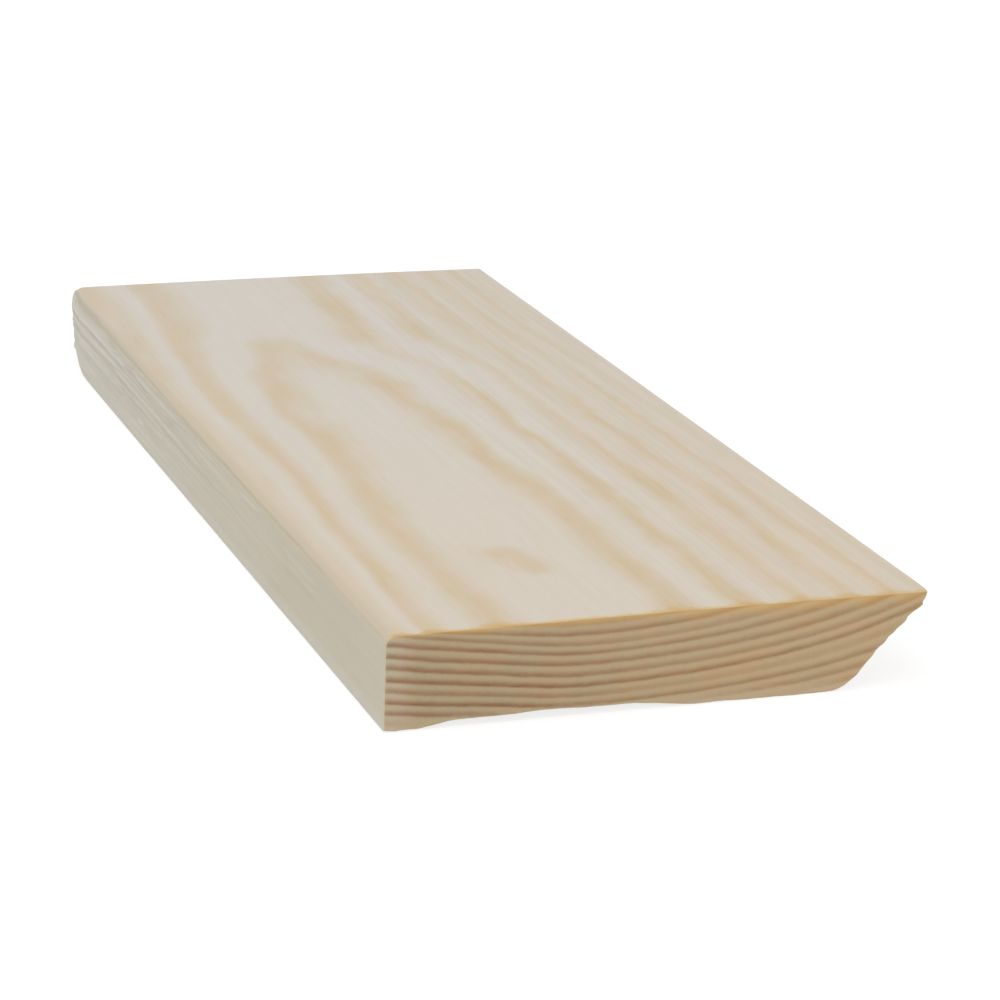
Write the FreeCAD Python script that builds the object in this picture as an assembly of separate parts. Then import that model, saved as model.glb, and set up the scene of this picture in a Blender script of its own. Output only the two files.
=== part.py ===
"""A short length of solid pine skirting board, lying on its relieved back with its wide face up.

The board is one planed piece of wood with the same section all along. The section has a square edge
with an eased arris, a shallow relief milled into the back, and at the other edge a narrow nose with
an undercut bevel behind it. Both ends are sawn square.

All sizes are in millimetres. X runs across the board from the square edge to the nose, Y along the
grain and Z up through the thickness. The origin is at the middle of the length and of the width, on
the level surface that the back rests on.
"""
import FreeCAD, Part
import math
import os

# Overall sizes
board_width = 69.0
board_thickness = 12.0
sample_length = 170.0

# The square edge: its arris on the wide face is eased more than the one at the back
face_arris_radius = 1.5
back_arris_radius = 0.4

# The nose and the bevel that undercuts it
nose_height = 1.0
nose_arris_radius = 0.25
bevel_angle = 45.0
bevel_heel_radius = 0.8

# The relief in the back, between the narrow pad by the square edge and the wide pad by the bevel.
# It falls away quickly from the narrow pad and runs out slowly towards the wide one
narrow_pad_width = 4.0
relief_width = 35.0
relief_depth = 1.0
relief_short_flank_run = 5.0
relief_long_flank_run = 8.0
relief_mouth_radius = 4.0
relief_roof_radius = 15.0


def section_corners():
    """The corners of the section as (x, z, radius), counterclockwise seen from the near end."""
    square_edge = -board_width / 2
    nose = board_width / 2
    bevel_height = board_thickness - nose_height
    bevel_heel = nose - bevel_height / math.tan(math.radians(bevel_angle))
    relief_start = square_edge + narrow_pad_width
    relief_end = relief_start + relief_width
    return [
        (square_edge, 0.0, back_arris_radius),
        (relief_start, 0.0, relief_mouth_radius),
        (relief_start + relief_short_flank_run, relief_depth, relief_roof_radius),
        (relief_end - relief_long_flank_run, relief_depth, relief_roof_radius),
        (relief_end, 0.0, relief_mouth_radius),
        (bevel_heel, 0.0, bevel_heel_radius),
        (nose, bevel_height, nose_arris_radius),
        (nose, board_thickness, nose_arris_radius),
        (square_edge, board_thickness, face_arris_radius),
    ]


def rounded_corner(before, corner, after, radius):
    """The arc that rounds a corner, as its first tangent point, its middle and its last tangent point."""
    towards_before = (before - corner).normalize()
    towards_after = (after - corner).normalize()
    half_angle = towards_before.getAngle(towards_after) / 2
    tangent_length = radius / math.tan(half_angle)
    bisector = (towards_before + towards_after).normalize()
    centre = corner + bisector * (radius / math.sin(half_angle))
    return (
        corner + towards_before * tangent_length,
        centre - bisector * radius,
        corner + towards_after * tangent_length,
    )


def section_wire(corners, y):
    """A closed wire of straight runs and tangent arcs through the corners, in the plane at y."""
    points = [FreeCAD.Vector(x, y, z) for x, z, _ in corners]
    arcs = []
    for i, (_, _, radius) in enumerate(corners):
        following = points[(i + 1) % len(points)]
        arcs.append(rounded_corner(points[i - 1], points[i], following, radius))
    edges = []
    for i, (start, middle, end) in enumerate(arcs):
        edges.append(Part.LineSegment(arcs[i - 1][2], start).toShape())
        edges.append(Part.Arc(start, middle, end).toShape())
    return Part.Wire(edges)


def skirting_board():
    """The board: its section extruded from the near sawn end to the far one."""
    near_end = -sample_length / 2
    section = Part.Face(section_wire(section_corners(), near_end))
    return section.extrude(FreeCAD.Vector(0, sample_length, 0))


os.makedirs("parts", exist_ok=True)
skirting_board().exportStep("parts/skirting_board.step")
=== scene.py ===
"""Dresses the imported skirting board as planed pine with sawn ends, on a white floor in soft light.

Lengths are in millimetres until they reach Blender, where MM turns them into metres. Places on the
board are given as u across the wide face from the square edge, v along the grain from the near sawn
end, and z up from the floor.
"""
import math

import bpy
import numpy as np
from mathutils import Matrix, Vector


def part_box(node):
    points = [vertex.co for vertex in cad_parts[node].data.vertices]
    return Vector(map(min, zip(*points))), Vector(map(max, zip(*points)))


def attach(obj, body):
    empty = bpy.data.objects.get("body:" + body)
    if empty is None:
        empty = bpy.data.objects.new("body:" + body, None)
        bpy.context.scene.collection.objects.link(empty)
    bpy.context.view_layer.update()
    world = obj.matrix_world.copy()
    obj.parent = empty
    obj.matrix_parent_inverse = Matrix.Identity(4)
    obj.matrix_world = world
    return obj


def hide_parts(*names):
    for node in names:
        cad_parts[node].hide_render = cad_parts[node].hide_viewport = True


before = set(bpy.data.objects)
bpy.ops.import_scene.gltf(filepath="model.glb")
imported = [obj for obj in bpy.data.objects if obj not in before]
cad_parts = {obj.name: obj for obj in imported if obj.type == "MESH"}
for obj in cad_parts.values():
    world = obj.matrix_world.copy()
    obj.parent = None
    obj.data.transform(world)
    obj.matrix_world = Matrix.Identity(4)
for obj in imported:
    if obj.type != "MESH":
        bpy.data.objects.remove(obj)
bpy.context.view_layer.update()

MM = 0.001
NODE = "skirting_board"
board_low, board_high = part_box(NODE)
board_width = (board_high.x - board_low.x) / MM
board_length = (board_high.y - board_low.y) / MM
board_thickness = (board_high.z - board_low.z) / MM

# The section, as the part's source has it
face_arris_radius = 1.5
back_arris_radius = 0.4
nose_height = 1.0
nose_arris_radius = 0.25
bevel_heel_radius = 0.8
narrow_pad_width = 4.0
relief_width = 35.0
relief_depth = 1.0
relief_short_flank_run = 5.0
relief_long_flank_run = 8.0
relief_mouth_radius = 4.0
relief_roof_radius = 15.0

# How finely the dressed board is meshed, and the angle from which an edge is shaded as sharp
cells_across = 124
cells_up = 44
arc_steps = 12
arc_crowding = 3.0
first_station_gap = 0.07
station_growth = 1.22
widest_station_gap = 0.76
sharp_edge_angle = 40.0

# The corners where one side of the section meets the next, from the foot of the square edge
side_corners = (0, 5, 7, 8, 9)

# Where the sides (back, bevel, wide face, square edge) lie in the baked picture, as (left, scale), and the
# ends, as (left, bottom, scale), on a canvas in millimetres. The near end is baked at twice the size
bake_canvas = 174.0
bake_margin = 1.5
side_places = [(129.2, 0.74), (71.6, 1.0), (1.5, 1.0), (89.6, 1.0)]
end_places = [(103.4, 1.5, 2.0), (131.0, 129.5, 0.62)]

# The year rings. Each row is one ring's dark line, from the top of the board down: its height at the
# bottom of its curve on the near end, how steeply it climbs to the left, the radius it bends up with to
# the right, and how bold it is on the planed faces, at the left of the sawn ends and at their right
year_rings = [
    (14, 0.09, 95, 0.6, 0.5, 0.4),
    (12.7, 0.095, 98, 0.75, 0.6, 0.5),
    (11.4, 0.091, 100, 0.93, 0.45, 0.4),
    (10.1, 0.138, 104, 0.93, 0.72, 0.66),
    (8.8, 0.18, 114, 0.85, 0.6, 0.38),
    (7.75, 0.165, 136, 0.88, 0.8, 0.62),
    (6.4, 0.16, 150, 0.8, 0.76, 0.62),
    (5.05, 0.157, 159, 0.75, 0.78, 0.55),
    (3.7, 0.149, 160, 0.9, 0.92, 0.78),
    (2.5, 0.14, 178, 0.7, 0.62, 0.25),
    (1.3, 0.129, 195, 0.72, 0.88, 0.66),
    (0.2, 0.115, 230, 0.85, 0.76, 0.52),
    (-0.9, 0.1, 250, 0.7, 0.28, 0.35),
    (-2.1, 0.095, 270, 0.7, 0.6, 0.5),
    (-3.4, 0.09, 280, 0.7, 0.6, 0.5),
]

# Where across the board the curves have their bottom, and how wide it is rounded towards the left
ring_middle = 25.3
ring_left_reach = 7.7

# Towards the nose all the rings turn up more
turn_up_start = 52.0
turn_up_radius = 143.0

# How the rings rise along the board, as (v, height): the first few, which close over the pointed figure
# on the wide face, and the rest below them. The first few also bend more, in full from pinch_end
closing_rings = 3
closing_rise = [(0, 0), (40, 0.03), (60, 0.115), (80, 0.165), (100, 0.225), (110, 0.305), (117, 0.425),
                (124, 0.55), (130, 0.64), (134, 0.9), (140, 1.18), (170, 1.25)]
closing_pinch = 1.6
pinch_start = 112.0
pinch_end = 131.0
ring_rise = [(0, 0), (40, 0.05), (60, 0.185), (80, 0.27), (100, 0.35), (110, 0.46), (118, 0.72),
             (124, 0.87), (130, 0.96), (136, 0.98), (148, 0.93), (170, 0.93)]

# The rings twist along the board: further on they lie lower at its left and higher at its right
twist_per_mm = 0.0062
twist_reach = 40.0
twist_left_share = 4.2

# The curve's bottom wanders to the left where the pointed figure ends on the wide face
ring_drift = -3.0
drift_place = 129.0
drift_spread = 10.0
drift_full_to = 30.0
drift_gone_at = 46.0

# Small waves of all the rings, as (seed, height, length across, length along), and larger ones by the nose
ring_waves = [(3, 0.035, 9.0, 21.0), (4, 0.02, 3.5, 8.0)]
nose_waves = (17, 0.12, 6.0, 10.0)
nose_waves_start = 42.0
nose_waves_run_in = 12.0

# Each ring's own small waves, laid out the same way, and the noise's step from ring to ring
own_waves = (5, 0.03, 11.0, 25.0, 1.37)

# Local dips and swells of the rings, as (u, v, spread across, spread along, lift)
ring_swells = [
    (23.4, 26, 2.3, 2.6, 0.5),
    (24.9, 19.5, 2.4, 3.4, 0.52),
    (13.5, 32, 2.6, 12, -0.04),
    (15, 91, 2.4, 5, -0.14),
    (16.5, 81, 2.4, 4, 0.03),
    (33, 98, 3, 8, 0.13),
    (30.5, 114, 2.6, 5, 0.14),
    (35, 62, 2.6, 7, 0.09),
    (37, 51, 2.6, 4, -0.04),
    (34, 91, 2.4, 6, 0.06),
    (9, 128, 3.2, 20, -0.1),
    (38.5, 124, 2.5, 6, 0.09),
    (38.5, 144, 2.5, 11, 0.13),
    (6.5, 60, 2.2, 19, 0.15),
    (5, 5, 2, 8, -0.06),
    (13, 3, 2, 6, 0.08),
    (11, 145, 2.6, 4.5, -0.12),
    (44.5, 36, 2.4, 10, 0.12),
    (52, 32, 2.2, 13, 0.09),
    (44, 72, 2.6, 11, -0.11),
    (43.6, 77, 2.4, 4.5, 0.14),
    (44, 91, 2.4, 5, -0.12),
    (48, 159, 2.2, 7, -0.13),
    (43, 106, 2.6, 9, -0.08),
    (51, 76, 2.4, 6, -0.22),
    (50, 105, 2.4, 6, -0.17),
    (47, 129, 2.6, 8, 0.15),
    (58, 38, 2.2, 8, -0.17),
    (57, 61, 2.2, 4, -0.12),
    (55, 105, 2.2, 6, 0.12),
    (54.5, 150, 2.4, 10, -0.2),
    (63, 30, 2, 6, 0.16),
    (62.5, 60, 2, 5, -0.18),
]

# Where the bands of the wide face are bolder or, where it is negative, fainter, laid out the same way
bold_spots = [
    (5, 3, 4, 7, 0.14),
    (13.6, 6, 1.6, 9, 0.12),
    (16.4, 14, 1.4, 8, -0.16),
    (1.9, 16, 0.9, 14, -0.16),
    (1.9, 84, 0.9, 16, -0.2),
    (37, 10, 3, 14, 0.14),
    (45.2, 5, 2.6, 8, 0.2),
    (36.4, 34, 1.6, 4, 0.16),
    (35.4, 67, 1.6, 5, 0.24),
    (35.2, 83, 1.6, 7, 0.14),
    (31.8, 104, 2.6, 5, 0.06),
    (44.6, 34, 1.8, 5, 0.15),
    (44, 48, 1.6, 5, 0.26),
    (44, 68, 2, 8, -0.08),
    (43.8, 86, 1.8, 6, 0.16),
    (51.9, 26, 1.7, 3.6, 0.1),
    (51.9, 18, 2, 4.5, -0.16),
    (45.4, 17, 2, 5, -0.12),
    (51.6, 46, 1.7, 3.6, 0.36),
    (51.4, 12, 2.4, 5, -0.14),
    (51, 36, 2.4, 4, -0.16),
    (50.6, 60, 2.4, 5, -0.1),
    (58.4, 24, 1.5, 4, 0.22),
    (57.4, 37, 1.5, 3.2, 0.34),
    (58.5, 8, 3, 6, -0.18),
    (57.5, 52, 3.4, 8, -0.22),
    (55.6, 79, 1.5, 3.4, 0.36),
    (56.2, 91, 1.4, 4, 0.14),
    (63.4, 32, 2.6, 15, -0.2),
    (20.5, 115, 1.6, 3, 0.2),
    (58, 30, 3, 16, -0.08),
    (1.6, 18, 1.2, 24, -0.24),
    (10, 146, 3.4, 22, -0.12),
    (7.2, 70, 2.4, 9, -0.12),
    (7.6, 114, 2.6, 6, 0.1),
    (61.2, 86, 1.4, 5, 0.24),
    (61.8, 58, 3, 6, -0.14),
    (2, 145, 2.2, 16, -0.26),
    (22.5, 125, 5, 4, -0.16),
    (28.8, 115, 3, 4, -0.2),
    (47, 163, 2.4, 8, -0.16),
    (46.8, 142, 2.6, 13, 0.02),
    (35.8, 160, 1.3, 7, -0.24),
    (41.4, 156, 1, 4, -0.3),
]

# How far the square edge is torn back at the far end, as (z, depth), and how soon that fades
far_tear = [(0, 2.15), (0.4, 1.95), (0.8, 1.42), (1.5, 1.2), (2.2, 0.98), (2.8, 0.95), (3.5, 0.98),
            (4, 0.88), (4.8, 0.88), (5.2, 0.96), (5.8, 0.68), (6.2, 0.84), (6.6, 0.62), (7.3, 0.7),
            (7.8, 0.7), (8.6, 0.62), (9.1, 0.58), (10.3, 0.72), (10.9, 0.86), (11.5, 0.9), (11.8, 1.3),
            (12, 2)]
far_tear_wander = 0.12
far_tear_length = 3.6
far_foot_tear_length = 4.4
far_foot_height = 1.5
far_notch_depth = 0.10
far_notch_length = 1.2

# Raised fibres on the square edge and, where the height is negative, grooves that fibres left there, as
# (z, from v, to v, height, half thickness)
raised_fibres = [
    (9.2, 128, 172, 0.21, 0.3),
    (7.7, 134, 172, 0.22, 0.28),
    (9.7, 96, 127, 0.18, 0.27),
    (8.9, 98, 118, 0.1, 0.24),
    (7.1, 93, 172, 0.14, 0.25),
    (6.8, 72, 80, 0.15, 0.26),
    (7.3, 26, 45, 0.08, 0.26),
    (8.4, 27, 45, 0.12, 0.27),
    (9.7, 53, 67, 0.14, 0.25),
    (9.7, 77, 89, 0.15, 0.25),
    (3.6, 116, 125, 0.2, 0.34),
    (3.3, 43, 50, 0.14, 0.3),
    (5.2, 130, 172, 0.12, 0.38),
    (2.3, 100, 172, 0.08, 0.35),
    (11.1, 19, 46, -0.14, 0.24),
    (11.1, 68, 76, -0.12, 0.22),
    (11, 90, 96, -0.12, 0.22),
    (11.1, 104, 172, -0.15, 0.22),
    (8.4, 130, 172, -0.16, 0.22),
    (6.5, 93, 119, -0.13, 0.22),
    (6.5, 117, 172, -0.15, 0.22),
    (6.4, 26, 46, -0.1, 0.24),
    (6.5, 61, 77, -0.09, 0.24),
    (4.4, 130, 172, -0.12, 0.26),
    (3, 105, 119, -0.1, 0.26),
]
fibre_taper = 5.0
fibre_wander = 0.10
fibre_unevenness = 0.25
fibre_ground = 0.05
fibre_full_height = 0.20

# The shade below raised fibres, painted into the colour and also cut in a little: how far down and how
# thick it is, in half thicknesses, and how deep it is cut
shade_drop = 1.7
shade_thickness = 0.6
shade_depth_share = 0.4

# How far the bevel is torn back by the saw at the near end, as (z, depth), and how long the tears are.
# A negative depth is wood that stands proud, here and on the back
near_tear = [(0, 1.1), (0.6, 0.3), (1, 0.15), (1.35, 0.04), (1.75, -0.16), (2.1, -0.1), (2.5, 0.04),
             (3, 0.14), (3.5, 0.22), (4.3, 0.26), (4.6, 0.52), (5.3, 0.52), (5.6, 0.3), (6.1, 0.42),
             (6.4, 0.6), (6.8, 0.38), (7.1, 0.4), (7.4, 0.48), (7.8, 0.34), (8.05, 0.22), (8.6, 0.34),
             (8.8, 0.62), (9.2, 0.52), (9.5, 0.36), (9.75, 0.08), (10.2, 0.02), (10.6, 0.46), (11, 0.62),
             (11.4, 0.5), (12, 0.34)]
near_tear_length = 1.2
near_tear_length_spread = 0.6
near_tear_raggedness = 0.02

# How far the back is chipped by the saw at the near end, as (u, depth), and how ragged both its ends are
near_back_chips = [(0, 0.26), (0.9, 0.14), (1.6, 0.05), (2.4, 0.18), (3.4, 0.16), (4.6, 0.02),
                   (8, -0.06), (10, -0.14), (13, -0.18), (16, -0.12), (18, 0), (20, 0.07),
                   (22, 0.04), (24, -0.1), (28, -0.12), (31, -0.14), (34, -0.02), (38, 0.03),
                   (40, 0.13), (43.5, 0.14), (45.5, 0.04), (49, 0.1), (50.5, 0.03), (56, 0.06),
                   (57.5, 0.14), (59, 0.1)]
near_back_raggedness = 0.04
far_back_raggedness = 0.16
back_chip_length = 1.0

# How far in from a torn edge the wood moves with it
tear_reach = 6.0

# The crown of the wide face, the arrises of the sawn ends, and the planer's and the saw's unevenness
crown = 0.15
end_arris_radius = 0.12
planed_unevenness = 0.012
sawn_unevenness = 0.025
sawn_flat_rim = 0.8
planer_pitch = 1.9


def on_board(u, v, z):
    """A place on the board as row coordinates in metres."""
    return np.stack([board_low.x + u * MM, board_low.y + v * MM, board_low.z + z * MM], axis=-1)


def smooth_step(value):
    """An even ease from 0 to 1."""
    t = np.clip(value, 0.0, 1.0)
    return t * t * (3 - 2 * t)


def soft_noise(seed, *axes):
    """Smooth noise from -1 to 1 with one random value per unit along each axis."""
    table = np.random.default_rng(seed).uniform(-1, 1, (32, 32, 32))
    places = np.broadcast_arrays(*axes, *[0.0] * (3 - len(axes)))
    cells = [np.floor(place).astype(int) for place in places]
    shares = [smooth_step(place - cell) for place, cell in zip(places, cells)]
    total = np.zeros(places[0].shape)
    for corner in range(8):
        steps = [(corner >> axis) & 1 for axis in range(3)]
        weight = 1.0
        for step, share in zip(steps, shares):
            weight = weight * (share if step else 1 - share)
        total += weight * table[tuple((cell + step) % 32 for cell, step in zip(cells, steps))]
    return total


def bump(distance, spread):
    """A bell curve that is 1 at no distance."""
    return np.exp(-0.5 * (distance / spread) ** 2)


def off_ring_middle(u, v):
    """How far to the right of the bottom of the rings' curves a place is."""
    drift_share = 1 - smooth_step((u - drift_full_to) / (drift_gone_at - drift_full_to))
    drift = ring_drift * drift_share * bump(v - drift_place, drift_spread)
    return u - ring_middle - drift


def shared_lift(u, v, off_middle):
    """How far all the rings are lifted at a place by the twist, the turn at the nose, swells and waves."""
    side = off_middle / twist_reach
    lift = twist_per_mm * v * side ** 3 * np.where(side < 0, twist_left_share, 1.0)
    lift = lift + np.maximum(u - turn_up_start, 0) ** 2 / (2 * turn_up_radius)
    for at_u, at_v, across, along, swell in ring_swells:
        lift = lift + swell * bump(u - at_u, across) * bump(v - at_v, along)
    for seed, height, across, along in ring_waves:
        lift = lift + height * soft_noise(seed, u / across, v / along)
    seed, height, across, along = nose_waves
    by_nose = smooth_step((u - nose_waves_start) / nose_waves_run_in)
    off_near_end = smooth_step(v / nose_waves_run_in)
    return lift + height * soft_noise(seed, u / across, v / along) * by_nose * off_near_end


def ring_heights(u, v):
    """The height of every ring's dark line above or below the place u, v, top ring first."""
    off_middle = off_ring_middle(u, v)
    shared = shared_lift(u, v, off_middle)
    rises = [np.interp(v, *np.transpose(closing_rise)), np.interp(v, *np.transpose(ring_rise))]
    pinch = (v - pinch_start) / (pinch_end - pinch_start)
    pinch = 1 + closing_pinch * smooth_step(pinch)
    seed, own_height, across, along, step = own_waves
    heights = []
    for number, (height, left_slope, right_radius, *_) in enumerate(year_rings):
        left = left_slope * (np.hypot(off_middle, ring_left_reach) - ring_left_reach)
        right = off_middle ** 2 / (2 * right_radius)
        curve = np.where(off_middle < 0, left, right)
        own = own_height * soft_noise(seed, u / across, v / along, number * step)
        rise = rises[0] if number < closing_rings else rises[1]
        curve = curve * pinch if number < closing_rings else curve
        heights.append(height + curve + rise + shared + own)
    return np.array(heights)


def local_boldness(u, v):
    """How much bolder or fainter than their rings the bands of the wide face are."""
    total = np.zeros(u.shape)
    for at_u, at_v, across, along, lift in bold_spots:
        total += lift * bump(u - at_u, across) * bump(v - at_v, along)
    return total


def ring_number(u, v, z):
    """Which ring a place is in: whole numbers are the dark lines, and the year before each is above it."""
    heights = ring_heights(u, v)
    number = np.zeros(u.shape)
    for above, below in zip(heights, heights[1:]):
        number += np.clip((above - z) / (above - below), 0, 1)
    return number


def section_corners():
    """The corners of the section as (u, z, radius), counterclockwise seen from the near end."""
    bevel_height = board_thickness - nose_height
    bevel_heel = board_width - bevel_height
    relief_end = narrow_pad_width + relief_width
    return [
        (0.0, 0.0, back_arris_radius),
        (narrow_pad_width, 0.0, relief_mouth_radius),
        (narrow_pad_width + relief_short_flank_run, relief_depth, relief_roof_radius),
        (relief_end - relief_long_flank_run, relief_depth, relief_roof_radius),
        (relief_end, 0.0, relief_mouth_radius),
        (bevel_heel, 0.0, bevel_heel_radius),
        (board_width, bevel_height, nose_arris_radius),
        (board_width, board_thickness, nose_arris_radius),
        (0.0, board_thickness, face_arris_radius),
    ]


def rounded_corner(before, corner, after, radius):
    """Points along the arc that rounds a corner."""
    towards_before = (before - corner) / np.linalg.norm(before - corner)
    towards_after = (after - corner) / np.linalg.norm(after - corner)
    half_angle = math.acos(np.clip(towards_before @ towards_after, -1, 1)) / 2
    bisector = towards_before + towards_after
    bisector = bisector / np.linalg.norm(bisector)
    centre = corner + bisector * radius / math.sin(half_angle)
    start = corner + towards_before * radius / math.tan(half_angle) - centre
    turn = math.pi - 2 * half_angle
    if start[0] * -bisector[1] + start[1] * bisector[0] < 0:
        turn = -turn
    angles = np.linspace(0, turn, arc_steps + 1)
    return np.array([
        centre + (start[0] * math.cos(a) - start[1] * math.sin(a),
                  start[0] * math.sin(a) + start[1] * math.cos(a))
        for a in angles
    ])


def section_arcs():
    """One run of points for each corner of the section."""
    corners = section_corners()
    points = [np.array(corner[:2]) for corner in corners]
    arcs = []
    for i, (_, _, radius) in enumerate(corners):
        following = points[(i + 1) % len(points)]
        arcs.append(rounded_corner(points[i - 1], points[i], following, radius))
    return arcs


def even_run(points, crowding, cells):
    """The same run divided anew into cells, closer together on the arcs."""
    steps = np.linalg.norm(np.diff(points, axis=0), axis=1) * crowding
    place = np.concatenate([[0.0], np.cumsum(steps)])
    wanted = np.linspace(0, place[-1], cells + 1)
    return np.stack([np.interp(wanted, place, points[:, axis]) for axis in (0, 1)], axis=1)


def section_side(arcs, first, last, cells):
    """The section from the middle of one corner's arc to the middle of another's, divided into cells."""
    half = arc_steps // 2
    run = [arcs[first][half:]]
    run += [arcs[i] for i in range(first + 1, last)]
    run.append(arcs[last % len(arcs)][:half + 1])
    points = np.concatenate(run)
    crowding = np.full(len(points) - 1, arc_crowding)
    place = 0
    for piece in run[:-1]:
        place += len(piece)
        crowding[place - 1] = 1.0
    return even_run(points, crowding, cells)


def section_sides():
    """The back, the bevelled edge, the wide face and the square edge, each from corner to corner."""
    arcs = section_arcs()
    counts = (cells_across, cells_up, cells_across, cells_up)
    spans = zip(side_corners, side_corners[1:], counts)
    return [section_side(arcs, first, last, cells) for first, last, cells in spans]


def stations():
    """Places along the board for the rings of vertices, crowded near both sawn ends."""
    gaps = []
    gap = first_station_gap
    while gap < widest_station_gap:
        gaps.append(gap)
        gap *= station_growth
    run_in = sum(gaps)
    plain = math.ceil((board_length - 2 * run_in) / widest_station_gap)
    near = np.concatenate([[0.0], np.cumsum(gaps)])
    middle = np.linspace(run_in, board_length - run_in, plain + 1)
    return np.concatenate([near, middle[1:-1], board_length - near[::-1]])


def filled_section(loop):
    """A grid of points that fills one closed loop of the section."""
    back = loop[:cells_across + 1]
    bevelled = loop[cells_across:cells_across + cells_up + 1]
    face = loop[cells_across + cells_up:2 * cells_across + cells_up + 1]
    square = np.concatenate([loop[2 * cells_across + cells_up:], loop[:1]])
    s = np.linspace(0, 1, cells_across + 1)[:, None, None]
    t = np.linspace(0, 1, cells_up + 1)[None, :, None]
    corners = (
        (1 - s) * (1 - t) * back[0] + s * (1 - t) * back[-1]
        + (1 - s) * t * face[-1] + s * t * face[0]
    )
    across = (1 - t) * back[:, None, :] + t * face[::-1][:, None, :]
    up = (1 - s) * square[::-1][None, :, :] + s * bevelled[None, :, :]
    return across + up - corners


def wall_faces(around, count):
    """The four corners of each cell between the rings of vertices."""
    here = np.arange(around)
    following = (here + 1) % around
    first = np.stack([here, following, following + around, here + around], axis=1)
    return (first[None] + around * np.arange(count - 1)[:, None, None]).reshape(-1, 4)


def wall_layout(sides, along):
    """Where the cells between the rings of vertices lie in the baked picture, side by side."""
    low = []
    high = []
    scale = []
    for side, (left, side_scale) in zip(sides, side_places):
        lengths = np.linalg.norm(np.diff(side, axis=0), axis=1)
        run = np.concatenate([[0.0], np.cumsum(lengths)]) * side_scale + left
        low.append(run[:-1])
        high.append(run[1:])
        scale.append(np.full(len(lengths), side_scale))
    low, high, scale = (np.concatenate(parts) for parts in (low, high, scale))
    layout = np.empty((len(along) - 1, len(low), 4, 2))
    layout[:, :, [0, 3], 0] = low[:, None]
    layout[:, :, [1, 2], 0] = high[:, None]
    layout[:, :, :2, 1] = (along[:-1, None] * scale)[:, :, None]
    layout[:, :, 2:, 1] = (along[1:, None] * scale)[:, :, None]
    return layout.reshape(-1, 4, 2) + (0, bake_margin)


def cap_faces(loop_start, inner_start):
    """The four corners of each cell of a sawn end, whose rim is the nearest ring of vertices."""
    index = np.empty((cells_across + 1, cells_up + 1), int)
    inner = np.arange((cells_across - 1) * (cells_up - 1)).reshape(cells_across - 1, cells_up - 1)
    index[1:-1, 1:-1] = inner_start + inner
    index[:, 0] = loop_start + np.arange(cells_across + 1)
    index[-1, :] = loop_start + cells_across + np.arange(cells_up + 1)
    index[:, -1] = loop_start + (cells_across + cells_up + np.arange(cells_across + 1))[::-1]
    index[0, 1:] = loop_start + (2 * cells_across + cells_up + np.arange(cells_up))[::-1]
    corners = [index[:-1, :-1], index[1:, :-1], index[1:, 1:], index[:-1, 1:]]
    return np.stack(corners, axis=-1).reshape(-1, 4)


def rim_distance(grid, loop):
    """How far each point of a sawn end is from the nearest edge of the section."""
    gaps = grid[:, None, :] - loop[None]
    return np.sqrt((gaps ** 2).sum(axis=-1)).min(axis=1)


def section_normals(loop):
    """The direction that faces out of the section at each of its points."""
    tangent = np.roll(loop, -1, axis=0) - np.roll(loop, 1, axis=0)
    outward = np.stack([tangent[:, 1], -tangent[:, 0]], axis=1)
    return outward / np.linalg.norm(outward, axis=1)[:, None]


def finished_mesh(places, faces, told, layout):
    """A mesh of those places and faces, with what its materials are told and its baking layout."""
    mesh = bpy.data.meshes.new("pine_board")
    mesh.from_pydata(places.tolist(), [], faces.tolist())
    mesh.update()
    for name, values in told.items():
        attribute = mesh.attributes.new(name, "FLOAT", "POINT")
        attribute.data.foreach_set("value", values.astype(np.float32))
    uv_map = mesh.uv_layers.new(name="OFBake")
    uv_map.data.foreach_set("uv", layout.astype(np.float32).ravel())
    material = np.zeros(len(faces), np.int32)
    material[-2 * cells_across * cells_up:] = 1  # the two sawn ends
    mesh.polygons.foreach_set("material_index", material)
    mesh.polygons.foreach_set("use_smooth", np.ones(len(faces), bool))
    mesh.set_sharp_from_angle(angle=math.radians(sharp_edge_angle))
    return mesh


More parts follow.
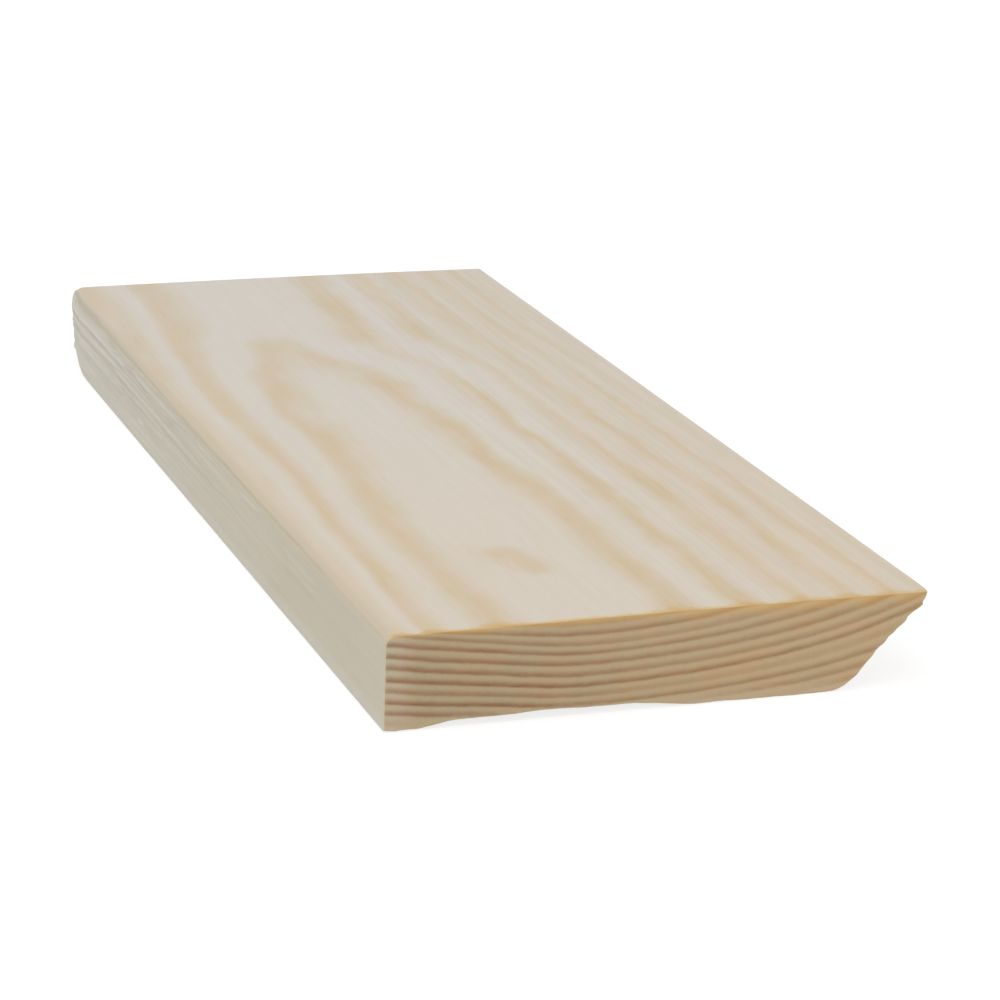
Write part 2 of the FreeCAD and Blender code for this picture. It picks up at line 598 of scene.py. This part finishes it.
def board_mesh():
    """The dressed board's mesh: rings of vertices around its section, closed by the two sawn ends."""
    sides = section_sides()
    loop = np.concatenate([side[:-1] for side in sides])
    along = stations()
    around = len(loop)

    u = np.tile(loop[:, 0], len(along))
    z = np.tile(loop[:, 1], len(along))
    v = np.repeat(along, around)
    outward = np.tile(section_normals(loop), (len(along), 1))
    depth = inward_depth(u, v, z, outward)
    u = torn_places(u - outward[:, 0] * depth, v, z)
    z = z - outward[:, 1] * depth
    rim = np.zeros(len(u))
    square = smooth_step((-outward[:, 0] - 0.55) / 0.35)
    raised, shaded = fibre_relief(v, z)
    # The painted light of the square edge: a painted highlight on its raised fibres, and painted shade
    # below them and in its grooves
    fibre_painted_light = square * np.clip((raised - shaded) / fibre_full_height, -1, 1)

    faces = [wall_faces(around, len(along))]
    layout = [wall_layout(sides, along)]
    for at_far_end in (False, True):
        loop_start = (len(along) - 1) * around if at_far_end else 0
        edge = np.stack([u, z], axis=1)[loop_start:loop_start + around]
        inner = filled_section(edge)[1:-1, 1:-1].reshape(-1, 2)
        corners = cap_faces(loop_start, len(u))
        u = np.concatenate([u, inner[:, 0]])
        z = np.concatenate([z, inner[:, 1]])
        inner_rim = rim_distance(inner, edge)
        sunk = sawn_depth(inner[:, 0], inner[:, 1]) * smooth_step(inner_rim / sawn_flat_rim)
        v = np.concatenate([v, board_length - sunk if at_far_end else sunk])
        rim = np.concatenate([rim, inner_rim])
        square = np.concatenate([square, np.zeros(len(inner))])
        fibre_painted_light = np.concatenate([fibre_painted_light, np.zeros(len(inner))])
        left, bottom, scale = end_places[at_far_end]
        spot = np.stack([z[corners], u[corners]], axis=-1) * scale + (left, bottom)
        faces.append(corners[:, ::-1] if at_far_end else corners)
        layout.append(spot[:, ::-1] if at_far_end else spot)

    told = {"ring": ring_number(u, v, z), "bold": local_boldness(u, v), "rim": rim, "square": square}
    told["fibre_painted_light"] = fibre_painted_light
    layout = np.concatenate(layout) / bake_canvas
    return finished_mesh(on_board(u, v, z), np.concatenate(faces), told, layout)


def sawn_depth(u, z):
    """How unevenly the saw left an end."""
    return sawn_unevenness * (1 + soft_noise(13, u / 2.2, z / 1.1))


def inward_depth(u, v, z, normal):
    """How far each place on the planed faces lies inside the plain section."""
    arris = np.clip(1 - np.minimum(v, board_length - v) / end_arris_radius, 0, 1)
    depth = end_arris_radius * (1 - np.sqrt(1 - arris ** 2))

    faces_up = smooth_step((normal[:, 1] - 0.5) / 0.4)
    depth += crown * faces_up * ((u - board_width / 2) / (board_width / 2)) ** 2

    faces_left = smooth_step((-normal[:, 0] - 0.3) / 0.5)
    raised, shaded = fibre_relief(v, z)
    depth += faces_left * np.clip(fibre_ground - raised + shade_depth_share * shaded, 0, None)

    faces_down = smooth_step((-normal[:, 1] - 0.5) / 0.4)
    ragged = np.clip(soft_noise(10, u / 1.3) + 0.3 * soft_noise(11, u / 0.5), 0, 1)
    near_chips = np.interp(u, *np.transpose(near_back_chips)) + near_back_raggedness * ragged
    near_chips = near_chips * np.exp(-v / back_chip_length)
    far_chips = far_back_raggedness * ragged * np.exp(-(board_length - v) / back_chip_length)
    depth += faces_down * (near_chips + far_chips)
    depth += planed_unevenness * (1 + soft_noise(12, u / 0.8, v / 9, z / 0.8))
    return depth


def fibre_relief(v, z):
    """How high the raised fibres stand on the square edge, and how deep the painted and partly cut shade
    below each and in the grooves is.
    """
    raised = np.zeros(len(v))
    shaded = np.zeros(len(v))
    for at_z, v_from, v_to, height, half_thickness in raised_fibres:
        middle = at_z + fibre_wander * soft_noise(14, v / 7, at_z)
        run = smooth_step((v - v_from) / fibre_taper) * smooth_step((v_to - v) / fibre_taper)
        run = run * (1 - fibre_unevenness + fibre_unevenness * soft_noise(15, v / 2.5, at_z))
        crest = abs(height) * run * bump(z - middle, half_thickness)
        # A groove is darkened with painted shade, which is also cut in a little
        if height < 0:
            shaded = np.maximum(shaded, crest)
            continue
        raised = np.maximum(raised, crest)
        # Below it lies a painted shade, which is also cut in a little
        below = middle - shade_drop * half_thickness
        shaded = np.maximum(shaded, height * run * bump(z - below, shade_thickness * half_thickness))
    return raised, shaded


def torn_places(u, v, z):
    """Where u moves to when both edges of the board are torn back beside the sawn ends."""
    torn = np.interp(z + far_tear_wander * soft_noise(7, v / 9), *np.transpose(far_tear))
    foot = 1 - smooth_step(z / far_foot_height)
    share = bump(board_length - v, far_tear_length + (far_foot_tear_length - far_tear_length) * foot)
    notches = far_notch_depth * soft_noise(18, z / 0.55, v / 1.5) * bump(board_length - v, far_notch_length)
    u = u + (torn * share + notches * (1 - foot)) * np.clip(1 - u / tear_reach, 0, 1) ** 2

    bevel_heel = board_width - board_thickness + nose_height
    from_bevel = np.minimum(bevel_heel + z, board_width) - u
    torn = np.interp(z, *np.transpose(near_tear)) + near_tear_raggedness * (1 + soft_noise(16, z / 0.35))
    length = near_tear_length * (1 + near_tear_length_spread * soft_noise(9, z / 0.9))
    return u - torn * np.exp(-v / length) * np.clip(1 - from_bevel / tear_reach, 0, 1) ** 2


def srgb(red, green, blue):
    """A colour given in 8-bit display values, as the linear colour that a shader takes."""
    def linear(value):
        share = value / 255
        return share / 12.92 if share <= 0.04045 else ((share + 0.055) / 1.055) ** 2.4
    return (linear(red), linear(green), linear(blue), 1.0)


# The planed wood: its ground and its bands, from the near end to the far one
ground_near = srgb(211, 201, 187)
ground_far = srgb(209, 202, 193)
band_pinkish = srgb(207, 185, 156)
band_straw = srgb(204, 186, 153)
band_far = srgb(202, 185, 155)

# The square edge: its ground, its arris, and the painted highlight on its raised fibres and painted shade
# below them and in its grooves
edge_near = srgb(208, 200, 181)
edge_far = srgb(211, 206, 194)
edge_top_strip = srgb(212, 200, 175)
edge_foot = srgb(215, 211, 199)
arris_near = srgb(200, 187, 165)
arris_far = srgb(196, 186, 168)
painted_fibre_highlight = srgb(226, 222, 212)
painted_fibre_shade = srgb(186, 179, 163)

# The scorch of the saw on the near arris of the wide face
scorched_ground = srgb(212, 182, 124)
scorched_band = srgb(201, 163, 103)

# The sawn ends: the wood, the lines of the rings, and the rim
end_left = srgb(192, 172, 138)
end_right = srgb(205, 179, 141)
end_by_edge = srgb(204, 192, 168)
ring_line_left = srgb(152, 107, 72)
ring_line_right = srgb(163, 125, 88)
end_rim = srgb(212, 190, 145)
end_foot = srgb(210, 191, 160)
golden_rim = srgb(221, 184, 122)
golden_line = srgb(194, 144, 88)

# How the wood takes the light, and how deep the materials' finest grain is
wood_specular = 0.3
ground_roughness = 0.68
band_roughness = 0.56
sawn_roughness = 0.85
planed_grain_depth = 0.03
sawn_grain_depth = 0.07


class Shader:
    """A material or world whose nodes are added one call at a time."""

    def __init__(self, owner):
        self.owner = owner
        owner.use_nodes = True
        self.tree = owner.node_tree
        self.tree.nodes.clear()

    def put(self, socket, value):
        """Gives an input a value or a link."""
        if isinstance(value, bpy.types.NodeSocket):
            self.tree.links.new(value, socket)
        else:
            socket.default_value = value

    def node(self, kind, settings=None, **inputs):
        """A new node with its settings and inputs."""
        node = self.tree.nodes.new("ShaderNode" + kind)
        for name, value in (settings or {}).items():
            setattr(node, name, value)
        for name, value in inputs.items():
            self.put(node.inputs[name.replace("_", " ")], value)
        return node

    def math(self, operation, *values):
        """The result of one arithmetic step."""
        node = self.node("Math", {"operation": operation})
        for socket, value in zip(node.inputs, values):
            self.put(socket, value)
        return node.outputs[0]

    def times(self, value, *factors):
        """The product of all those values."""
        for factor in factors:
            value = self.math("MULTIPLY", value, factor)
        return value

    def scaled(self, value, factor, offset):
        """The value times the factor, plus the offset."""
        return self.math("MULTIPLY_ADD", value, factor, offset)

    def ease(self, value, low, high, to_low=0.0, to_high=1.0):
        """Goes softly from to_low to to_high while the value goes from low to high."""
        node = self.node("MapRange", {"interpolation_type": "SMOOTHSTEP"})
        for socket, given in zip(node.inputs, (value, low, high, to_low, to_high)):
            self.put(socket, given)
        return node.outputs[0]

    def mix(self, share, first, second, blend="MIX"):
        """Two colours mixed or multiplied by a share."""
        node = self.node("Mix", {"data_type": "RGBA", "blend_type": blend})
        self.put(node.inputs[0], share)
        self.put(node.inputs[6], first)
        self.put(node.inputs[7], second)
        return node.outputs[2]

    def attribute(self, name):
        """A value that the mesh holds at its points."""
        return self.node("Attribute", {"attribute_name": name}).outputs["Fac"]

    def place(self):
        """The place on the board in millimetres, as u, v and z."""
        parts = self.node("SeparateXYZ", Vector=self.node("TexCoord").outputs["Object"]).outputs
        starts = (board_low.x, board_low.y, board_low.z)
        shifted = [self.math("SUBTRACT", part, start) for part, start in zip(parts, starts)]
        return [self.math("DIVIDE", part, MM) for part in shifted]

    def noise(self, per_mm, detail=2.0, roughness=0.5, offset=(0, 0, 0)):
        """Noise with that many features per millimetre along each axis, from about 0 to 1."""
        coordinates = self.node("TexCoord").outputs["Object"]
        per_metre = [value / MM for value in per_mm]
        mapping = self.node("Mapping", Vector=coordinates, Scale=per_metre, Location=offset)
        place = mapping.outputs[0]
        noise = self.node("TexNoise", Vector=place, Scale=1.0, Detail=detail, Roughness=roughness)
        return noise.outputs["Fac"]

    def tint(self, colour, share, darkest, lightest):
        """The colour made a little darker or lighter by a share from 0 to 1."""
        factor = self.mix(share, (*darkest, 1), (*lightest, 1))
        return self.mix(1.0, colour, factor, "MULTIPLY")

    def surface(self, colour, roughness, height, depth):
        """Ends the material with its colour, its roughness and its fine relief, in millimetres."""
        bumped = self.node("Bump", Height=height, Distance=depth * MM, Strength=1.0)
        shader = self.node("BsdfPrincipled", Base_Color=colour, Roughness=roughness,
                           Specular_IOR_Level=wood_specular, Normal=bumped.outputs[0])
        self.node("OutputMaterial", Surface=shader.outputs[0])
        return self.owner


def ring_shade(shader, number, rise, fade):
    """How dark the wood is within its year: it darkens up to the ring's line and pales just after it."""
    phase = shader.math("FRACT", number)
    before = shader.ease(phase, *rise)
    after = shader.ease(phase, *fade, 1.0, 0.0)
    return shader.math("MAXIMUM", before, after)


def boldness(shader, number, column):
    """How bold the nearest ring is, from that column of the year rings."""
    ramp = shader.node("ValToRGB")
    count = len(year_rings)
    for which, ring in enumerate(year_rings):
        place = which / count
        element = ramp.color_ramp.elements.new(place) if which else ramp.color_ramp.elements[0]
        element.color = (ring[column],) * 3 + (1,)
    shader.put(ramp.inputs[0], shader.math("DIVIDE", number, count))
    return ramp.outputs[0]


def band_number(shader, u):
    """The ring number on the planed faces, which wanders a little to make the bands wavy."""
    wobble = shader.scaled(shader.noise((0.30, 0.07, 0.30), detail=3.0, roughness=0.6), 0.18, -0.14)
    waver = shader.math("SUBTRACT", shader.noise((0.14, 0.17, 0.14), offset=(0, 7.7, 0)), 0.5)
    wobble = shader.scaled(waver, shader.ease(u, 28.0, 52.0, 0.10, 0.42), wobble)
    return shader.math("ADD", shader.attribute("ring"), wobble)


def band_rise_and_fade(shader, u, v):
    """Where in its year a band begins to darken, and where in the next year the wood is pale again."""
    to_middle = shader.ease(u, 8.0, 12.0)
    beyond = shader.ease(v, 50.0, 66.0)
    far = shader.ease(v, 114.0, 130.0)
    left_rise = shader.scaled(beyond, -0.15, shader.ease(u, 1.5, 5.5, 0.22, 0.46))
    right_rise = shader.ease(u, 34.0, 42.0, 0.70, 0.55)
    right_rise = shader.scaled(far, shader.ease(u, 41.5, 44.5, -0.07, -0.22), right_rise)
    rise = shader.scaled(to_middle, shader.math("SUBTRACT", right_rise, left_rise), left_rise)
    narrower = shader.times(beyond, shader.scaled(far, -0.10, 0.15))
    fade = shader.scaled(to_middle, shader.math("SUBTRACT", 0.09, narrower), 0.31)
    return rise, fade


def band_shade(shader, u, v, square):
    """How dark the bands on the planed faces are, soft on both sides and patchy along the board."""
    number = band_number(shader, u)
    rise, fade = band_rise_and_fade(shader, u, v)
    shade = ring_shade(shader, number, (rise, 1.0), (0.0, fade))
    patchy = shader.ease(shader.noise((0.16, 0.07, 0.16), detail=3.0), 0.32, 0.66, 0.70, 1.06)
    patchy = shader.math("ADD", patchy, shader.attribute("bold"))
    shade = shader.times(shade, boldness(shader, number, 3), patchy)

    # Towards the nose the bands run together, and a stretch beyond the middle is fainter
    by_nose = shader.ease(u, 45.0, 54.0)
    calm = shader.times(by_nose, shader.ease(v, 45.0, 95.0, 0.10, 0.50))
    stretch = shader.times(shader.ease(v, 104.0, 112.0), shader.ease(v, 124.0, 131.0, 1.0, 0.0))
    stretch = shader.times(stretch, shader.ease(u, 32.0, 36.0, 0.0, 0.45))
    strength = shader.math("SUBTRACT", 1.0, shader.math("MAXIMUM", calm, stretch))
    shade = shader.times(shade, strength, shader.ease(u, 64.0, 67.5, 1.0, 0.25))
    shade = shader.scaled(by_nose, 0.25, shade)
    return shader.times(shade, shader.ease(square, 0.0, 1.0, 1.0, 0.10))


def square_edge_wood(shader, v, z):
    """The ground of the square edge, yellower under the arris and paler at the foot."""
    wood = shader.mix(shader.ease(v, 10.0, 165.0), edge_near, edge_far)
    top_strip = shader.times(shader.ease(z, 10.2, 11.3), shader.ease(v, 40.0, 150.0, 1.0, 0.5))
    wood = shader.mix(top_strip, wood, edge_top_strip)
    far_foot = shader.times(shader.ease(v, 135.0, 160.0, 0.0, 0.9), shader.ease(z, 3.0, 6.0, 1.0, 0.0))
    foot = shader.math("MAXIMUM", shader.ease(z, 0.8, 2.8, 0.7, 0.0), far_foot)
    return shader.mix(foot, wood, edge_foot)


def banded_wood(shader, v, z, shade, square):
    """The ground, which pales towards the far end, and the bands, pinkish or straw-coloured in places."""
    hue = shader.ease(shader.noise((0.25, 0.10, 0.25), offset=(3.1, 0, 0)), 0.34, 0.66)
    ground = shader.mix(shader.ease(v, 0.0, 150.0), ground_near, ground_far)
    ground = shader.tint(ground, hue, (1.006, 0.996, 1.0), (0.996, 1.003, 0.988))
    ground = shader.mix(square, ground, square_edge_wood(shader, v, z))
    band = shader.mix(hue, band_pinkish, band_straw)
    band = shader.mix(shader.ease(v, 40.0, 130.0, 0.0, 0.7), band, band_far)
    return shader.mix(shade, ground, band)


def with_fibres(shader, colour, fibres, u):
    """The colour with its fibres, broader strands towards the nose and short fine resin flecks."""
    colour = shader.tint(colour, fibres, (0.965, 0.958, 0.945), (1.03, 1.03, 1.035))
    strands = shader.noise((1.1, 0.035, 1.1), detail=3.0, roughness=0.6, offset=(0, 0, 8.8))
    strands = shader.ease(strands, 0.32, 0.68)
    stranded = shader.tint(colour, strands, (0.972, 0.968, 0.960), (1.022, 1.024, 1.030))
    colour = shader.mix(shader.ease(u, 20.0, 60.0, 0.35, 1.4), colour, stranded)
    flecks = shader.noise((7.0, 0.22, 7.0), detail=1.0, offset=(0, 5.3, 0))
    return shader.tint(colour, shader.ease(flecks, 0.71, 0.78, 0.0, 0.55), (1, 1, 1), (0.86, 0.79, 0.68))


# Where fibres of the square edge were parted: a level of the noise, and the line's tone
parting_lines = [
    (0.50, (0.87, 0.86, 0.84)),
    (0.56, (1.05, 1.06, 1.075)),
    (0.42, (0.90, 0.89, 0.875)),
]


def with_streaks(shader, colour, streak, amount, v):
    """The colour with the streaks, hairs and parting lines of the square edge."""
    streaked = shader.tint(colour, streak, (0.92, 0.91, 0.895), (1.05, 1.06, 1.075))
    colour = shader.mix(amount, colour, streaked)
    hairs = shader.ease(shader.noise((2.2, 0.02, 4.2), offset=(0, 1.9, 0)), 0.36, 0.64)
    haired = shader.tint(colour, hairs, (0.90, 0.895, 0.885), (1.05, 1.055, 1.06))
    colour = shader.mix(amount, colour, haired)

    parting = shader.noise((0.8, 0.024, 0.95), detail=3.0, roughness=0.6, offset=(0, 3.3, 1.2))
    opened = shader.times(amount, shader.ease(v, 40.0, 120.0, 0.35, 1.4))
    for level, tone in parting_lines:
        off_level = shader.math("ABSOLUTE", shader.math("SUBTRACT", parting, level))
        line = shader.times(shader.ease(off_level, 0.004, 0.022, 1.0, 0.0), opened)
        colour = shader.tint(colour, line, (1, 1, 1), tone)
    return colour


def with_arris(shader, colour, u, v, z):
    """The colour with the tan arris of the square edge, and a thin line of painted shade under it, at the
    crease where the arris meets the flat.
    """
    on_arris = shader.times(shader.ease(u, 0.7, 1.7, 1.0, 0.0), shader.ease(z, 10.6, 11.5))
    worn = shader.mix(shader.ease(v, 100.0, 160.0), arris_near, arris_far)
    colour = shader.mix(on_arris, colour, worn)

    # A thin line of painted shade at the crease under the arris
    wander = shader.noise((0.1, 0.12, 0.1), detail=3.0, offset=(0, 6.1, 0))
    height = shader.scaled(wander, 0.5, shader.ease(v, 105.0, 160.0, 10.75, 11.15))
    off_line = shader.math("ABSOLUTE", shader.math("SUBTRACT", z, height))
    line = shader.times(shader.ease(off_line, 0.08, 0.34, 1.0, 0.0), shader.ease(v, 5.0, 70.0, 0.35, 1.0))
    line = shader.times(line, shader.ease(u, 1.2, 1.8, 1.0, 0.0))
    return shader.tint(colour, line, (1, 1, 1), (0.90, 0.885, 0.87))


def with_painted_fibre_light(shader, colour):
    """The colour with a painted highlight on the raised fibres, and painted shade below them and in the
    grooves.
    """
    fibre_painted_light = shader.attribute("fibre_painted_light")
    colour = shader.mix(shader.ease(fibre_painted_light, 0.0, 1.0, 0.0, 0.85), colour, painted_fibre_highlight)
    return shader.mix(shader.ease(fibre_painted_light, 0.0, -1.0, 0.0, 0.75), colour, painted_fibre_shade)


def with_scorch(shader, colour, u, v, shade, square):
    """The colour with the saw's golden scorch on the near arris, deepest where a band reaches it."""
    patchy = shader.ease(shader.noise((0.7, 0.7, 0.7)), 0.3, 0.7, 0.65, 1.3)
    reach = shader.times(shader.scaled(shade, 1.0, 0.45), patchy, shader.ease(u, 4.0, 26.0, 0.55, 1.0))
    scorch = shader.ease(shader.math("DIVIDE", v, reach), 0.2, 1.9, 1.0, 0.0)
    scorch = shader.times(scorch, shader.ease(square, 0.0, 1.0, 0.86, 0.12))
    return shader.mix(scorch, colour, shader.mix(shade, scorched_ground, scorched_band))


def planed_pine():
    """The planed faces: pale sapwood with soft tan bands and fine streaks along the grain."""
    shader = Shader(bpy.data.materials.new("planed_pine"))
    u, v, z = shader.place()
    square = shader.attribute("square")
    shade = band_shade(shader, u, v, square)
    fibres = shader.noise((5.0, 0.05, 5.0), detail=4.0, roughness=0.6)
    colour = with_fibres(shader, banded_wood(shader, v, z, shade, square), fibres, u)

    # The square edge is streaked, more so towards the far end and less towards its foot
    streak = shader.noise((1.0, 0.022, 1.35), detail=3.0, roughness=0.55, offset=(0, 0, 2.7))
    streak = shader.ease(streak, 0.36, 0.66)
    amount = shader.times(square, shader.ease(v, 30.0, 125.0, 0.10, 0.65))
    amount = shader.times(amount, shader.ease(z, 2.5, 6.5, 0.5, 1.0))
    colour = with_streaks(shader, colour, streak, amount, v)
    colour = with_arris(shader, colour, u, v, z)
    colour = with_painted_fibre_light(shader, colour)
    colour = with_scorch(shader, colour, u, v, shade, square)

    planer_marks = shader.math("SINE", shader.times(v, 2 * math.pi / planer_pitch))
    height = shader.scaled(shade, 0.5, fibres)
    height = shader.scaled(streak, shader.times(amount, 0.8), height)
    height = shader.scaled(planer_marks, 0.05, height)
    roughness = shader.ease(shade, 0.0, 1.0, ground_roughness, band_roughness)
    return shader.surface(colour, roughness, height, planed_grain_depth)


def end_shade(shader, u):
    """How dark the ring lines of the sawn ends are."""
    wobble = shader.scaled(shader.noise((0.5, 0.5, 0.5), detail=4.0, roughness=0.6), 0.20, -0.10)
    number = shader.math("ADD", shader.attribute("ring"), wobble)
    shade = ring_shade(shader, number, (0.42, 1.0), (0.0, 0.29))
    to_right = shader.ease(u, 16.0, 36.0)
    bold = shader.mix(to_right, boldness(shader, number, 4), boldness(shader, number, 5))
    patchy = shader.noise((0.35, 0.35, 0.9), offset=(0, 0, 4.2))
    return shader.times(shade, bold, shader.ease(patchy, 0.3, 0.7, 0.86, 1.06))


def with_rim(shader, colour, u, z, shade):
    """The colour of a sawn end with its rim paler, and golden orange along the wide face."""
    ragged = shader.scaled(shader.noise((1.1, 1.1, 1.1)), 0.8, 0.6)
    edge = shader.math("DIVIDE", shader.attribute("rim"), ragged)
    colour = shader.mix(shader.ease(edge, 0.0, 0.5, 0.25, 0.0), colour, end_rim)
    low = shader.math("DIVIDE", shader.ease(z, 0.0, 3.0, 0.0, 3.0), ragged)
    colour = shader.mix(shader.ease(low, 0.1, 1.9, 0.62, 0.0), colour, end_foot)

    thick = shader.times(ragged, shader.scaled(shade, 0.9, 0.55))
    thick = shader.times(thick, shader.ease(u, 2.0, 16.0, 0.55, 1.0), shader.ease(u, 30.0, 52.0, 1.0, 1.45))
    below_top = shader.math("SUBTRACT", board_thickness, z)
    golden = shader.ease(shader.math("DIVIDE", below_top, thick), 0.2, 1.5, 0.80, 0.0)
    return shader.mix(golden, colour, shader.mix(shade, golden_rim, golden_line))


def sawn_pine():
    """The sawn ends: darker end grain with narrow red-brown ring lines, boldest at the left."""
    shader = Shader(bpy.data.materials.new("sawn_pine"))
    u, _, z = shader.place()
    shade = end_shade(shader, u)
    across = shader.ease(u, 4.0, 58.0)
    pale = shader.mix(across, end_left, end_right)
    pale = shader.mix(shader.ease(u, 0.8, 4.6, 0.75, 0.0), pale, end_by_edge)
    colour = shader.mix(shade, pale, shader.mix(across, ring_line_left, ring_line_right))
    stain = shader.ease(shader.noise((0.22, 0.22, 0.3), offset=(1.7, 0, 0)), 0.35, 0.65)
    colour = shader.tint(colour, stain, (0.97, 1.0, 1.01), (1.03, 0.985, 0.97))

    # Cut fibres and the marks of the saw's teeth, which run up and down the end
    pores = shader.noise((7.0, 7.0, 7.0), detail=3.0, roughness=0.7)
    colour = shader.tint(colour, pores, (0.90, 0.89, 0.88), (1.09, 1.09, 1.09))
    teeth = shader.noise((1.6, 1.6, 0.10), detail=3.0, roughness=0.65, offset=(0, 0, 1.4))
    colour = shader.tint(colour, teeth, (0.96, 0.96, 0.955), (1.035, 1.035, 1.035))
    colour = with_rim(shader, colour, u, z, shade)

    height = shader.scaled(teeth, 1.4, shader.scaled(shade, 0.4, pores))
    return shader.surface(colour, sawn_roughness, height, sawn_grain_depth)


def new_object(name, data):
    """An object in the scene with that mesh, lamp or camera."""
    added = bpy.data.objects.new(name, data)
    bpy.context.scene.collection.objects.link(added)
    return added


def add_board():
    """The board that is shown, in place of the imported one."""
    board = new_object("pine_board", board_mesh())
    board.data.materials.append(planed_pine())
    board.data.materials.append(sawn_pine())
    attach(board, "root")
    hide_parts(NODE)


# The view: the camera's turn, its tilt, and where the foot of the near end lies in it
camera_azimuth = -19.63
camera_elevation = 17.19
camera_roll = 2.0
camera_lens = 124.5
camera_sensor = 36.0
near_end_in_view = (19.04, -24.66, -410.2)


def add_camera():
    """The camera at the photographed view, which leans a little to one side."""
    azimuth = math.radians(camera_azimuth)
    elevation = math.radians(camera_elevation)
    roll = math.radians(camera_roll)
    level = Vector((math.cos(azimuth), math.sin(azimuth), 0))
    back = Vector((
        math.sin(azimuth) * math.cos(elevation),
        -math.cos(azimuth) * math.cos(elevation),
        math.sin(elevation),
    ))
    upright = back.cross(level)
    right = level * math.cos(roll) + upright * math.sin(roll)
    up = upright * math.cos(roll) - level * math.sin(roll)
    turn = Matrix((right, up, back)).transposed()
    place = Vector((0, board_low.y, 0)) - turn @ (Vector(near_end_in_view) * MM)
    data = bpy.data.cameras.new("camera")
    data.lens = camera_lens
    data.sensor_width = camera_sensor
    camera = new_object("camera", data)
    camera.matrix_world = Matrix.Translation(place) @ turn.to_4x4()
    bpy.context.scene.camera = camera


# The floor and the light
floor_size = 6.0
floor_albedo = 0.80
seen_floor_albedo = 0.25
seen_floor_glow = 0.80
sky_strength = 0.90
softbox_energy = 7.2
softbox_size = 1.2
softbox_place = (-0.35, -0.35, 1.30)


def seen_as_backdrop(shader):
    """1 for the rays that show the floor or the sky as a white backdrop, also in a reflection."""
    rays = shader.node("LightPath").outputs
    seen = shader.math("MAXIMUM", rays["Is Camera Ray"], rays["Is Glossy Ray"])
    return shader.math("MAXIMUM", seen, rays["Is Transmission Ray"])


def add_floor():
    """A white floor that the camera sees as white, with the board's soft shadow on it."""
    half = floor_size / 2
    mesh = bpy.data.meshes.new("floor")
    mesh.from_pydata([(-half, -half, 0), (half, -half, 0), (half, half, 0), (-half, half, 0)],
                     [], [(0, 1, 2, 3)])
    floor = new_object("floor", mesh)
    shader = Shader(bpy.data.materials.new("floor"))
    seen = seen_as_backdrop(shader)
    colour = shader.mix(seen, [floor_albedo] * 3 + [1], [seen_floor_albedo] * 3 + [1])
    diffuse = shader.node("BsdfDiffuse", Color=colour)
    glow = shader.node("Emission", Strength=shader.math("MULTIPLY", seen, seen_floor_glow))
    both = shader.node("AddShader")
    shader.put(both.inputs[0], diffuse.outputs[0])
    shader.put(both.inputs[1], glow.outputs[0])
    shader.node("OutputMaterial", Surface=both.outputs[0])
    floor.data.materials.append(shader.owner)


def add_light():
    """An even white sky, seen as plain white, and one wide softbox over the board, to its left."""
    world = bpy.data.worlds.new("sky")
    bpy.context.scene.world = world
    shader = Shader(world)
    strength = shader.ease(seen_as_backdrop(shader), 0.0, 1.0, sky_strength, 1.0)
    sky = shader.node("Background", Strength=strength)
    shader.node("OutputWorld", Surface=sky.outputs[0])

    lamp = bpy.data.lights.new("softbox", "AREA")
    lamp.shape = "DISK"
    lamp.size = softbox_size
    lamp.energy = softbox_energy
    softbox = new_object("softbox", lamp)
    softbox.location = softbox_place
    softbox.rotation_euler = (-softbox.location).to_track_quat("-Z", "Y").to_euler()


add_board()
add_floor()
add_light()
add_camera()
bpy.context.scene.view_settings.view_transform = "Standard"
